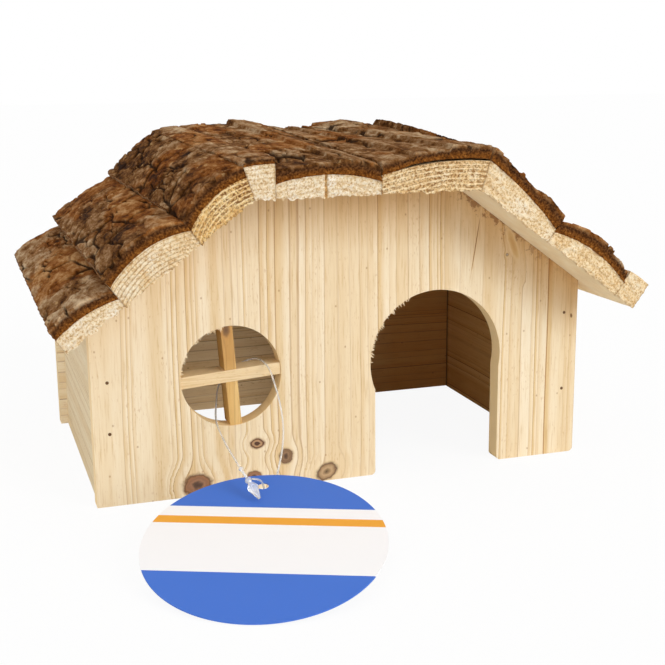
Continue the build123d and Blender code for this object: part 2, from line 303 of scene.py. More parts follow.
LEFT_BARK = {"plate_length": 34.0, "plate_depth": 0.6, "roughness": 0.3}
BOARDS = [
    Board("left_upper", "left", 0.29 * left_wood, (0.72, 0.91, 0.52), (0.82, 1.0, 0.82), (0.37, 0.07, 0.4),
          crown_share=0.3, ring_gap=1.8, ring_strength=1.0, warmth=1.0, tone=-0.1, **LEFT_BARK),
    Board("left_middle", "left", 0.405 * left_wood, (0.55, 1.0, 0.74), (0.82, 1.0, 0.91), (0.12, -0.15, 0.16),
          crown_share=0.55, ring_gap=1.5, ring_strength=0.8, warmth=0.3, tone=0.01, **LEFT_BARK),
    Board("left_lower", "left", 0.305 * left_wood, (0.31, 0.6, 0.54), (0.73, 0.82, 0.73), (0.15, 0.11, 0.17),
          crown_share=0.6, ring_gap=2.6, ring_strength=0.35, warmth=0.1, ragged=0.2, tone=0.19,
          **LEFT_BARK),
    Board("top_filler", "top", FILLER_WIDTH, (1.05, 1.13, 1.13), (0.29, 0.44, 0.44), (0.3, 0.3, 0.3),
          ring_gap=1.9, ring_strength=0.45, warmth=0.1),
    Board("top_left", "top", 0.5 * top_wood, (0.47, 0.725, 0.44), (1.09, 0.89, 0.85), (0.64, 0.58, 0.74),
          ledge_shares=((0.61, 0.3),), ring_gap=2.6, ring_strength=0.3, warmth=0.0, split=0.47, tone=0.0),
    Board("top_right", "top", 0.5 * top_wood, (0.625, 1.0, 0.967), (1.02, 0.6, 0.65), (0.6, 0.09, 0.17),
          ledge_shares=((0.31, 0.27), (0.636, 0.54)), crown_share=0.6, ring_gap=1.9, ring_strength=0.85,
          warmth=0.55, loose=0.9, back_lift=1.5, tone=0.13),
    Board("right_upper", "right", 0.42 * right_wood, (0.975, 0.89, 0.517), (0.91, 0.945, 0.95),
          (0.17, 0.08, 0), ledge_shares=((0.72, 0.3),), crown_share=0.35, ring_gap=3.4, ring_strength=0.15,
          warmth=0.3, lip=4.6),
    Board("right_lower", "right", 0.58 * right_wood, (0.4, 0.74, 0.51), (0.945, 1.07, 1.1),
          (0.05, 0.05, 0.05), ledge_shares=((0.68, -0.3),), bare=BARE_EDGE_WIDTH, ring_gap=3.4,
          ring_strength=0.2, warmth=0.4),
]
WOOD_RISE_SHARE = 0.7

# The bare edge: its height, how far its two sides lie below it, and how far its rings' middle is moved
BARE_SHARE = 1.025
BARE_FIRST_FALL, BARE_LAST_FALL = 0.4, 0.3
BARE_RING_SHIFT = 8

# Grids of the boards: spacing across in millimetres and the fewest columns, then layers and rows. Points
# that fall in the same half micrometre are one.
BARK_SPACING, BARK_LEAST, BARK_LAYERS, BARK_ROWS = 0.4, 14, 10, 360
WOOD_SPACING, WOOD_LEAST, WOOD_LAYERS, WOOD_ROWS = 0.45, 10, 26, 60
MERGES_PER_MM = 2000


def circle_through(points):
    """Centre and radius of the circle through three points of a face."""
    (ax, ay), (bx, by), (cx, cy) = points
    spread = 2 * (ax * (by - cy) + bx * (cy - ay) + cx * (ay - by))
    a2, b2, c2 = ax * ax + ay * ay, bx * bx + by * by, cx * cx + cy * cy
    mid_x = (a2 * (by - cy) + b2 * (cy - ay) + c2 * (ay - by)) / spread
    mid_y = (a2 * (cx - bx) + b2 * (ax - cx) + c2 * (bx - ax)) / spread
    return mid_x, mid_y, hypot(ax - mid_x, ay - mid_y)


def arc_point(points, share):
    """Places along the arc through three points: across evenly, height from their circle."""
    mid_x, mid_y, radius = circle_through(points)
    along = points[0][0] + (points[2][0] - points[0][0]) * share
    side = 1 if points[1][1] > mid_y else -1
    return along, mid_y + side * np.sqrt(np.maximum(radius ** 2 - (along - mid_x) ** 2, 0))


def board_arcs(board, start, first_lean, last_lean, depth_share):
    """Three points each of the wood's top and the bark's top at a share of the roof's length."""
    wood_end = start + board.width - board.bare
    rises = [WOOD_THICKNESS * share * depth_share for share in board.rise_shares]
    heights = [WOOD_THICKNESS * share + WOOD_RISE_SHARE * rise
               for share, rise in zip(board.wood_shares, rises)]
    tops = [height + BARK_THICKNESS * share + (1 - WOOD_RISE_SHARE) * rise
            for height, share, rise in zip(heights, board.bark_shares, rises)]
    crown_at = start + board.crown_share * (wood_end - start)

    def arc(first, crown, last):
        return [(start - first * first_lean, first), (crown_at, crown), (wood_end + last * last_lean, last)]

    return arc(*heights), arc(*tops)


def between_arcs(front, back, across, depth):
    """Places on the surface drawn straight from a front arc to a back arc."""
    front_along, front_out = arc_point(front, across)
    back_along, back_out = arc_point(back, across)
    return front_along + (back_along - front_along) * depth, front_out + (back_out - front_out) * depth


def mesh_object(name, points, faces, colours=None, sharp=50):
    """A mesh object from points in metres and faces, smooth but for edges sharper than an angle."""
    mesh = bpy.data.meshes.new(name)
    mesh.from_pydata(points.tolist(), [], faces if isinstance(faces, list) else faces.tolist())
    if colours is not None:
        layer = mesh.color_attributes.new("tone", "FLOAT_COLOR", "POINT")
        layer.data.foreach_set("color", np.ascontiguousarray(colours, dtype=np.float32).ravel())
    mesh.validate()
    mesh.update()
    mesh.shade_smooth()
    mesh.set_sharp_from_angle(angle=radians(sharp))
    made = bpy.data.objects.new(name, mesh)
    bpy.context.collection.objects.link(made)
    return made


def block_mesh(name, place, counts):
    """A closed block: its six faces are grids over two of u, v, w from 0 to 1, and place(u, v, w) gives
    each point in millimetres and its colour attribute. Points that coincide are merged."""
    u, v, w = (np.linspace(0, 1, n + 1) for n in counts)
    sheets = []
    for fixed in (0.0, 1.0):
        a, b = np.meshgrid(u, v, indexing="ij")
        sheets.append((a, b, np.full(a.shape, fixed), fixed == 1.0))
        a, c = np.meshgrid(u, w, indexing="ij")
        sheets.append((a, np.full(a.shape, fixed), c, fixed == 0.0))
        b, c = np.meshgrid(v, w, indexing="ij")
        sheets.append((np.full(b.shape, fixed), b, c, fixed == 1.0))
    points, colours, quads, base = [], [], [], 0
    for su, sv, sw, outward in sheets:
        xyz, colour = place(su, sv, sw)
        index = base + np.arange(su.size).reshape(su.shape)
        corners = [index[:-1, :-1], index[1:, :-1], index[1:, 1:], index[:-1, 1:]]
        quad = np.stack(corners, axis=-1).reshape(-1, 4)
        quads.append(quad if outward else quad[:, ::-1])
        points.append(xyz.reshape(-1, 3))
        colours.append(colour.reshape(-1, 4))
        base += su.size
    points, colours, quads = np.concatenate(points), np.concatenate(colours), np.concatenate(quads)
    keys = np.round(points * MERGES_PER_MM).astype(np.int64)
    _, first, where = np.unique(keys, axis=0, return_index=True, return_inverse=True)
    return mesh_object(name, points[first] * MM, where.reshape(-1)[quads], colours[first])


def on_face(face, along, out, y):
    """Points in millimetres so far along a roof face, so far out of it and at depth y."""
    (ox, oz), (ax, az), (nx, nz) = FACES[face]
    return np.stack([ox + along * ax + out * nx, y, oz + along * az + out * nz], axis=-1)


# Bark and wood of the boards

# Bark in millimetres: how far its lines wander and over what length, its plates and flakes, how deep its
# fissures are, how far its broken and its loose ends reach in, and half the width of a ledge's edge
WARP, WARP_SIZE = 3.0, 17
PLATE_WIDTH, FLAKE_WIDTH = 13, 5
FLAKE_DEPTH, FISSURE_DEPTH = 0.3, 1.2
BROKEN_REACH, LOOSE_REACH = 2.0, 9.0
LEDGE_HALF_EDGE = 0.35

# The raised lip: where it grows and ends along Y, and the shares across where it falls. Then the lift of a
# board's last side: the shares across where it grows, and where it grows along Y
LIP_GROWS, LIP_ENDS, LIP_FALLS = (-110, 40), (47, 50), (0.06, 0.11)
LIFT_ACROSS, LIFT_ALONG = (0.5, 0.95), (-20, 80)

# Sawn ends of wood in millimetres: how far roughness and wear reach in, a crack and the dark seams. A crack
# is this much warmer, and the ring tone is the ring's number over the last of these.
SAW_REACH, WEAR_REACH = 1.2, 3.0
CRACK_WIDTH, CRACK_DEPTH, SEAM_WIDTH = 0.4, 1.6, 0.3
CRACK_WARMTH = 1.6
RINGS_PER_TONE = 100


def bark_relief(board, along, y, seed):
    """Height of the bark above its smooth form in millimetres, with how whole it is between fissures, how
    high its plates are and a slow tone. Bent cells of two sizes are plates and flakes, each at its own
    height, and some of the borders between them are open fissures."""
    warp = WARP * fractal(along / WARP_SIZE, y / WARP_SIZE, seed, 3)
    swirl = WARP * fractal(along / WARP_SIZE, y / WARP_SIZE, seed + 3, 3)
    p, q = along + warp, y + swirl
    gap, plate = cells(p / PLATE_WIDTH, q / board.plate_length, seed + 5)
    flake_length = 0.25 * board.plate_length + 2
    flake_gap, flake = cells((p + swirl) / FLAKE_WIDTH, (q - warp) / flake_length, seed + 9)
    rough = fractal(along / 3.2, y / 8, seed + 14, 4)
    fissure = (1 - step(0.03, 0.13, gap)) * step(-0.1, 0.35, noise(along / 16, y / 36, seed + 11))
    hair = (1 - step(0.03, 0.14, flake_gap)) * step(0.25, 0.6, noise(along / 8, y / 18, seed + 12))
    fissure = np.maximum(fissure, 0.8 * hair)
    plates = board.plate_depth * (plate - 0.5) + FLAKE_DEPTH * (flake - 0.5)
    relief = plates + board.roughness * rough - FISSURE_DEPTH * fissure
    layer = 0.4 * plate + 0.25 * flake + 0.35 * (0.5 + 0.5 * rough) + board.tone
    slow = 0.5 + 0.5 * fractal(along / 18, y / 36, seed + 18, 3)
    return relief, 1 - fissure, layer, slow


def ledge_lift(board, across, y, seed):
    """Lift of the bark's ledges in millimetres, their edges wandering a little along the board."""
    lift = np.zeros_like(across)
    before = 0.0
    wander = (1.6 * noise(y / 23, 0 * y, seed) + 0.7 * noise(y / 6, 0 * y, seed + 1)) / board.width
    edge = LEDGE_HALF_EDGE / board.width
    for place, height in board.ledge_shares:
        lift = lift + BARK_THICKNESS * (height - before) * step(-edge, edge, across + wander - place)
        before = height
    return lift


def make_bark(board, start, first_lean, last_lean, seed):
    """The bark of a board: from the wood's surface up to the bark's, raised by its ledges and relief,
    with ragged sides and its two ends broken unevenly. Tones: how whole it is, its layer, a slow tone, and
    where it is cut: 0 on top, growing to 1 down its ends, and 2 on its last side."""
    wood_front, bark_front = board_arcs(board, start, first_lean, last_lean, 0)
    wood_back, bark_back = board_arcs(board, start, first_lean, last_lean, 1)
    thin = BARK_THICKNESS * min(board.bark_shares)

    def place(u, v, w):
        low_s, low_n = between_arcs(wood_front, wood_back, u, w)
        high_s, high_n = between_arcs(bark_front, bark_back, u, w)
        y = ROOF_FRONT + (ROOF_BACK - ROOF_FRONT) * w
        relief, whole, layer, slow = bark_relief(board, high_s, y, seed)
        side = np.minimum(u, 1 - u) * board.width
        relief = relief - 0.2 * np.exp(-side / 0.4)
        relief = np.maximum(relief, -0.7 * thin) * min(1.0, thin / 3.5)
        lip = board.lip * step(*LIP_GROWS, y) * (1 - step(*LIP_ENDS, y)) * (1 - step(*LIP_FALLS, u))
        lift = board.back_lift * step(*LIFT_ACROSS, u) * step(*LIFT_ALONG, y)
        relief = relief * (1 - 0.18 * lip)
        high_n = high_n + ledge_lift(board, u, y, seed + 40) + lip + lift
        spread = 0.3 * BOARD_SEAM * (step(0.9, 1, u) - step(0.9, 1, 1 - u))
        along = low_s + (high_s - low_s) * v + spread
        along = along - 0.5 * lip * v
        end = np.where(y < 0, 3.0, -3.0)
        reach = np.minimum(y - ROOF_FRONT, ROOF_BACK - y)
        near_end = np.exp(-reach / LOOSE_REACH)
        loose = board.loose * step(0.1, 0.3, u) * near_end * (1 - v)
        out = low_n + loose + (high_n + relief - low_n) * v - 0.25 * (v == 0) * (1 - near_end)
        broken = 0.8 + 1.0 * fractal(high_s / 12, end, seed + 20, 3)
        layered = 0.5 * noise(high_s / 2.5, out / 1.2 + end, seed + 21)
        grit = 0.28 * noise(high_s / 0.8, out / 0.8 + end, seed + 22)
        inward = (np.maximum(broken, 0) * (0.3 + 0.7 * v) + layered + grit) * np.exp(-reach / BROKEN_REACH)
        y = y + np.where(y < 0, inward, -inward)
        coarse = board.ragged * noise(y / 6, out / 2.5, seed + 23)
        ragged = coarse + 0.25 * noise(y / 1.4, out / 0.9, seed + 24)
        along = along + ragged * (np.exp(-u * board.width) - np.exp(-(1 - u) * board.width))
        cut = np.where((w == 0) | (w == 1), 1 - v, 0.0)
        cut = np.where((u == 1) & (w > 0) & (w < 1), 2.0, cut)
        return on_face(board.face, along, out, y), np.stack([whole, layer, slow, cut], axis=-1)

    columns = max(BARK_LEAST, round((board.width - board.bare) / BARK_SPACING))
    made = block_mesh(f"{board.name}_bark_piece", place, (columns, BARK_LAYERS, BARK_ROWS))
    made.data.materials.append(bark_material)
    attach(made, "house")
    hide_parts(f"{board.name}_bark")


def wood_block(name, board, foot, tops, centre, seed):
    """A block of log wood from a flat foot to a round top, its two ends rough from the saw. Tones: the
    growth ring it lies in, whether it is an end and more at the end's two seams, how strong the rings are,
    and how warm the wood is, with more for its crack."""
    width = foot[1] - foot[0]

    def place(u, v, w):
        low = foot[0] + width * u
        high_s, high_n = between_arcs(tops[0], tops[1], u, w)
        along = low + (high_s - low) * v + BOARD_SEAM * (u - 0.5)
        out = high_n * v
        y = ROOF_FRONT + (ROOF_BACK - ROOF_FRONT) * w
        end = np.where(y < 0, 3.0, -3.0)
        reach = np.minimum(y - ROOF_FRONT, ROOF_BACK - y)
        ring = np.hypot(along - centre[0], out - centre[1])
        ring = (ring + 0.5 * noise(along / 9, out / 6 + y / 80, seed + 2)) / board.ring_gap
        soft = step(0.0, 0.75, ring % 1.0) * board.ring_strength
        sawn = 0.4 + 0.2 * noise(along / 3.5, out / 1.3 + end, seed) - 0.35 * soft
        sawn = sawn + 0.34 * noise(along / 1.1, out / 0.8 + end, seed + 1)
        crack = 0 * along
        if board.split > 0:
            crack = np.exp(-((along - foot[0] - board.split * width) / CRACK_WIDTH) ** 2)
        inward = (sawn + CRACK_DEPTH * crack) * np.exp(-reach / SAW_REACH)
        worn = 0.3 * noise(along / 1.6, y / 7, seed + 3) + 0.2 * noise(along / 0.7, y / 1.5, seed + 4)
        out = out + np.where(v == 0, 2.2 * worn * np.exp(-reach / WEAR_REACH) + 0.1 * worn, 0)
        y = y + np.where(y < 0, inward, -inward)
        is_end = np.where((w == 0) | (w == 1), 1.0, 0.0)
        seam = np.exp(-(u * width / SEAM_WIDTH) ** 2) + np.exp(-((1 - u) * width / SEAM_WIDTH) ** 2)
        strength = board.ring_strength * (1 + 0.5 * noise(along / 10, out / 8, seed + 5))
        warmth = board.warmth + CRACK_WARMTH * crack
        tones = [ring / RINGS_PER_TONE, is_end * (1 + seam), strength, warmth]
        return on_face(board.face, along, out, y), np.stack(tones, axis=-1)

    columns = max(WOOD_LEAST, round(width / WOOD_SPACING))
    return block_mesh(name, place, (columns, WOOD_LAYERS, WOOD_ROWS))


def make_board(board, start, first_lean, last_lean, seed):
    """The wood of a board, with a second block for a bare raised edge where it has one."""
    front, _ = board_arcs(board, start, first_lean, last_lean, 0)
    back, _ = board_arcs(board, start, first_lean, last_lean, 1)
    mid_x, mid_y, _ = circle_through(front)
    end = start + board.width
    wood_end = end - board.bare
    blocks = [wood_block(f"{board.name}_wood_piece", board, (start, wood_end), (front, back),
                         (mid_x, mid_y), seed)]
    if board.bare:
        high = WOOD_THICKNESS * BARE_SHARE
        middle = (wood_end + end) / 2
        flat = [(wood_end, high - BARE_FIRST_FALL), (middle, high), (end, high - BARE_LAST_FALL)]
        blocks.append(wood_block(f"{board.name}_edge_piece", board, (wood_end, end), (flat, flat),
                                 (mid_x - BARE_RING_SHIFT, mid_y), seed + 30))
    for made in blocks:
        made.data.materials.append(log_wood)
        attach(made, "house")
        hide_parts(f"{board.name}_strip" if board.name == "top_filler" else f"{board.name}_board")


# Materials

# Patterns of spruce: sizes across the grain and along it in millimetres, detail and roughness
BEND, FIBRE, CLOUD = ((40, 150), 1.0, 0.5), ((0.7, 16), 5.0, 0.6), ((10, 300), 2.0, 0.5)
TICK, TORN = ((0.55, 2.6), 2.0, 0.5), ((9, 26), 2.0, 0.5)
RESIN_DOT = (19, 24)

# How far the grain sways and its rings are apart in millimetres, by how many rings that varies, over what
# length, and half the width inside the walls
SWAY, RING_GAP, RING_DRIFT, DRIFT_SIZE, INSIDE_HALF_WIDTH = 5.0, 5.2, 5.5, 16, 104

# Under the roof in millimetres: how far shade and dust reach down, the size of a crumb, and where along X
# the shade grows and the dust starts and ends
SHADE_REACH, DUST_REACH, CRUMB_SIZE = 26, 8, 2.2
SHADE_GROWS, DUST_STARTS, DUST_ENDS = (-85, 5), (25, 50), (78, 98)

# A mark's outline: its grain in millimetres and its roughness in half sizes; then its colours' places
MARK_GRAIN, MARK_ROUGHNESS = 2.2, 0.5
MARK_PLACES = (0.0, 0.15, 0.25, 0.36, 0.43, 0.5, 0.66)


def mark_share(node, where, wobble, middle, half_sizes, lean):
    """How far a place is from a mark's middle, in shares of the mark's half sizes, with a rough outline."""
    place = (middle[0] * MM, -HOUSE_DEPTH / 2 * MM, middle[1] * MM)
    away = node("VectorMath SUBTRACT", (where, place))
    turned = node("VectorRotate", {"Vector": away, "Axis": (0, 1, 0), "Angle": radians(lean)})
    sized = node("VectorMath MULTIPLY", (turned, (per(half_sizes[0]), 0, per(half_sizes[1]))))
    rough = node("VectorMath MULTIPLY_ADD", (wobble, (MARK_ROUGHNESS, 0, MARK_ROUGHNESS), sized))
    offset = node("VectorMath SUBTRACT", (rough, (MARK_ROUGHNESS / 2, 0, MARK_ROUGHNESS / 2)))
    return node("VectorMath LENGTH", (offset,), "Value")


def darken_under_roof(node, where, axes, outward, mixed):
    """Shade and brown dust by how far a place of the front panel lies below the roof. The shade is stronger
    to the right. Crumbs of bark lie under the right slope, fewer towards its eave."""
    slope_height = (EAVE_HEIGHT * slope_cos + PANEL_WIDTH / 2 * slope_sin) * MM
    slant = node("Math MULTIPLY_ADD", (outward, -slope_sin, slope_height))
    below_slope = node("Math MULTIPLY_ADD", (axes[2], -slope_cos, slant))
    below_top = node("Math SUBTRACT", (TOP_HEIGHT * MM, axes[2]))
    below = node("Math MINIMUM", (below_slope, below_top))
    rightwards, on_right, cleaner = (
        node("MapRange", (axes[0], first * MM, last * MM, low, high)) for (first, last), low, high in (
            (SHADE_GROWS, 0.2, 1.0), (DUST_STARTS, 0.0, 1.0), (DUST_ENDS, 1.0, 0.15)))
    dusky = node("MapRange", (below, 0.0, SHADE_REACH * MM, 0.95, 0.0))
    dusky = node("Math MULTIPLY", (dusky, rightwards))
    mixed = node("Mix", {0: dusky, 6: mixed, 7: "#e0c49a"}, **TINT)
    crumb = node("TexNoise", {"Vector": where, "Scale": per(CRUMB_SIZE), "Detail": 4.0, "Roughness": 0.65})
    reach = node("MapRange", (below, 0.0, DUST_REACH * MM, 0.41, 0.76))
    dust = node("MapRange", (node("Math SUBTRACT", (crumb, reach)), 0.0, 0.1, 0.0, 0.8))
    dust = node("Math MULTIPLY", (dust, on_right))
    dust = node("Math MULTIPLY", (dust, cleaner))
    return node("Mix", {0: dust, 6: mixed, 7: "#8a5c34"}, **MIX)


def spruce(name, across, along, pale, honey, line, marks=(), tints=(), inner=None, rim="",
           under_roof=False, shift=500.0):
    """Planed spruce: strips from pale to honey, each ending in a thin darker line at a growth ring. Rings
    are 2 to 9 mm apart, nearly straight, with fine fibres along the grain, small brown resin dots and torn
    ticks. Where they are given there are knots and other marks that the grain bends round, tints along an
    axis (on the inner face alone where its axis is given), some of them painted light and shade, sawn rims
    mixed towards a pale colour, which makes their rings plainer and is partly painted light where the rims
    lie in shade, and, on the front, painted shade and brown dust under the roof. A shift in millimetres
    gives a board its own rings."""
    material, shader, node = new_material(name)
    where = node("TexCoord", out="Object")
    axes = node("SeparateXYZ", (where,), None)
    side, run = axes[across], axes[along]
    wobble = node("TexNoise", {"Vector": where, "Scale": per(MARK_GRAIN), "Detail": 3.0}, "Color")
    grain, hearts = side, []
    for middle, half_sizes, lean, colours in marks:
        share = mark_share(node, where, wobble, middle, half_sizes, lean)
        push = node("MapRange", (share, 0.6, 3.4, -0.75, 0.0), interpolation_type="SMOOTHSTEP")
        from_mark = node("Math SUBTRACT", (side, middle[0] * MM))
        grain = node("Math MULTIPLY_ADD", (from_mark, push, grain))
        hearts.append((share, colours))
    bend, fibre, cloud, tick, torn = (
        node("TexNoise", {
            "Vector": stretched(node, side, run, sizes), "Scale": 1.0, "Detail": detail, "Roughness": rough})
        for sizes, detail, rough in (BEND, FIBRE, CLOUD, TICK, TORN))
    millimetres = node("Math MULTIPLY_ADD", (grain, 1 / MM, shift))
    across_grain = node("Math MULTIPLY_ADD", (bend, SWAY, millimetres))
    uneven = node("TexNoise", {"W": across_grain, "Scale": 1 / DRIFT_SIZE, "Detail": 1.0},
                  noise_dimensions="1D")
    even = node("Math MULTIPLY", (across_grain, 1 / RING_GAP))
    rings = node("Math MULTIPLY_ADD", (uneven, RING_DRIFT, even))
    part = node("Math FRACT", (rings,))
    which = node("Math FLOOR", (rings,))
    own = node("TexWhiteNoise", {"W": which}, noise_dimensions="1D")
    strength = node("MapRange", (own, 0.15, 0.95, 0.2, 1.0))
    strip = node("ValToRGB", (part,), stops=[
        (0.0, line), (0.07, line), (0.11, honey), (0.3, honey), (0.75, pale), (1.0, pale)])
    plain = node("Mix", {0: strength, 6: pale, 7: strip}, **MIX)
    shade = node("ValToRGB", (fibre,), stops=[(0.3, "#e2d0b0"), (0.46, "#faf6ee"), (0.7, "#ffffff")])
    toned = node("Mix", {0: 0.75, 6: plain, 7: shade}, **TINT)
    patchy = node("ValToRGB", (cloud,), stops=[(0.32, "#f2e6d0"), (0.5, "#fbf7f0"), (0.65, "#ffffff")])
    clouded = node("Mix", {0: 0.8, 6: toned, 7: patchy}, **TINT)
    dot = node("TexVoronoi", {"Vector": stretched(node, side, run, RESIN_DOT), "Scale": 1.0},
               voronoi_dimensions="2D")
    dotted = node("MapRange", (dot, 0.01, 0.028, 0.6, 0.0))
    mixed = node("Mix", {0: dotted, 6: clouded, 7: "#a8794a"}, **MIX)
    ticks = node("Math MULTIPLY_ADD", (torn, 0.35, tick))
    ticked = node("MapRange", (ticks, 0.81, 0.92, 0.0, 0.45))
    mixed = node("Mix", {0: ticked, 6: mixed, 7: "#c0945e"}, **MIX)
    normal = node("SeparateXYZ", (node("NewGeometry", out="Normal"),), None)
    outward = node("Math ABSOLUTE", (axes[0],))
    inside = 1.0
    if inner is not None:
        facing = node("MapRange", (normal[inner], -0.9, -0.4, 1.0, 0.0))
        wall = INSIDE_HALF_WIDTH * MM, (INSIDE_HALF_WIDTH + 1) * MM
        inside = node("Math MULTIPLY", (facing, node("MapRange", (outward, *wall, 1.0, 0.0))))
    for axis, first, last, first_colour, last_colour in tints:
        along_axis = node("MapRange", (axes[axis], first * MM, last * MM))
        tint = node("ValToRGB", (along_axis,), stops=[(0.0, first_colour), (1.0, last_colour)])
        mixed = node("Mix", {0: inside, 6: mixed, 7: tint}, **TINT)
    # Rims, where the face turns side-on: mixed towards a pale colour, which makes their rings plainer and is
    # partly painted light on rims that lie in shade
    if rim:
        sawn = node("MapRange", (node("Math ABSOLUTE", (normal[1],)), 0.5, 0.9, 0.85, 0.0))
        mixed = node("Mix", {0: sawn, 6: mixed, 7: rim}, **MIX)
    if under_roof:
        mixed = darken_under_roof(node, where, axes, outward, mixed)
    for share, colours in hearts:
        half = node("Math MULTIPLY", (share, 0.5))
        heart = node("ValToRGB", (half,), stops=list(zip(MARK_PLACES, colours)))
        cover = node("MapRange", (share, 0.95, 1.45, 1.0, 0.0))
        mixed = node("Mix", {0: cover, 6: mixed, 7: heart}, **MIX)
    bump = node("Bump", {"Height": fibre, "Strength": 0.2, "Distance": 0.12 * MM})
    connect(shader, {"Base Color": mixed, "Normal": bump, "Roughness": 0.65})
    return material


def make_log_wood():
    """Rough-sawn log wood: cream to honey with short brown pores, and growth rings that follow the log's
    round: thin lines on pale slices, rows of brown dashes between pale ridges on warm ones, strong on some
    and faint on others. Pores and fuzz are about 1 mm, clouds of colour 7 mm."""
    material, shader, node = new_material("rough_sawn_log_wood")
    tone = node("Attribute", out=None, attribute_name="tone")
    ring, is_end, strength = node("SeparateColor", (tone["Color"],), None)
    warmth = tone["Alpha"]
    where = node("TexCoord", out="Object")
    pore, fuzz, cloud = (
        node("TexNoise", {"Vector": where, "Scale": per(size), "Detail": detail, "Roughness": rough})
        for size, detail, rough in ((1.0, 3.0, 0.6), (0.9, 4.0, 0.7), (7, 3.0, 0.5)))
    jitter = node("Math MULTIPLY", (pore, 0.15))
    part = node("Math FRACT", (node("Math MULTIPLY_ADD", (ring, RINGS_PER_TONE, jitter)),))
    ridge = node("ValToRGB", (part,), stops=[
        (0.0, "#ffffff"), (0.16, "#000000"), (0.72, "#000000"), (0.92, "#ffffff"), (1.0, "#ffffff")])
    wide = node("Math SUBTRACT", (1.0, ridge))
    thin = node("ValToRGB", (part,), stops=[
        (0.0, "#000000"), (0.5, "#000000"), (0.68, "#ffffff"), (0.9, "#ffffff"), (1.0, "#000000")])
    warm = node("MapRange", (warmth, 0.4, 0.5))
    early = node("Mix", {0: warm, 2: thin, 3: wide})
    broken = node("MapRange", (warm, 0.0, 1.0, 0.7, 0.15))
    dash = node("MapRange", (pore, 0.54, 0.43, broken, 1.0))
    line = node("Math MULTIPLY", (early, dash))
    line = node("Math MULTIPLY", (line, strength), use_clamp=True)
    cream = node("ValToRGB", (cloud,), stops=[(0.3, "#efd9b4"), (0.5, "#f8e9cd"), (0.7, "#fdf3e2")])
    amber = node("ValToRGB", (cloud,), stops=[(0.3, "#efc47e"), (0.5, "#fdd995"), (0.7, "#ffe8b4")])
    pale = node("Mix", {0: warmth, 6: cream, 7: amber}, **MIX)
    pith = node("Mix", {0: warmth, 6: "#c29a62", 7: "#7d5018"}, **MIX)
    dashed = node("Mix", {0: line, 6: pale, 7: pith}, **MIX)
    shine = node("Math MULTIPLY", (ridge, strength), use_clamp=True)
    shine = node("Math MULTIPLY", (shine, 0.45))
    ringed = node("Mix", {0: shine, 6: dashed, 7: "#fff0cf"}, **MIX)
    speck = node("MapRange", (pore, 0.42, 0.33, 0.0, 0.5))
    speckled = node("Mix", {0: speck, 6: ringed, 7: "#b98a4e"}, **MIX)
    fluff = node("ValToRGB", (fuzz,), stops=[(0.36, "#c4a06a"), (0.47, "#f2e3c8"), (0.55, "#ffffff")])
    mixed = node("Mix", {0: 0.85, 6: speckled, 7: fluff}, **TINT)
    # Sides and undersides: the rings mixed with a light cream, partly painted light that lifts the shaded
    # undersides of the boards
    smooth = node("Mix", {0: 0.45, 6: "#ffebc2", 7: ringed}, **MIX)
    shown = node("Mix", {0: is_end, 6: smooth, 7: mixed}, **MIX)
    seam = node("MapRange", (is_end, 1.0, 2.0, 0.0, 0.6))
    shown = node("Mix", {0: seam, 6: shown, 7: "#8a6238"}, **MIX)
    bump = node("Bump", {"Height": fuzz, "Strength": 0.9, "Distance": 0.9 * MM})
    connect(shader, {"Base Color": shown, "Normal": bump, "Roughness": 0.85})
    return material


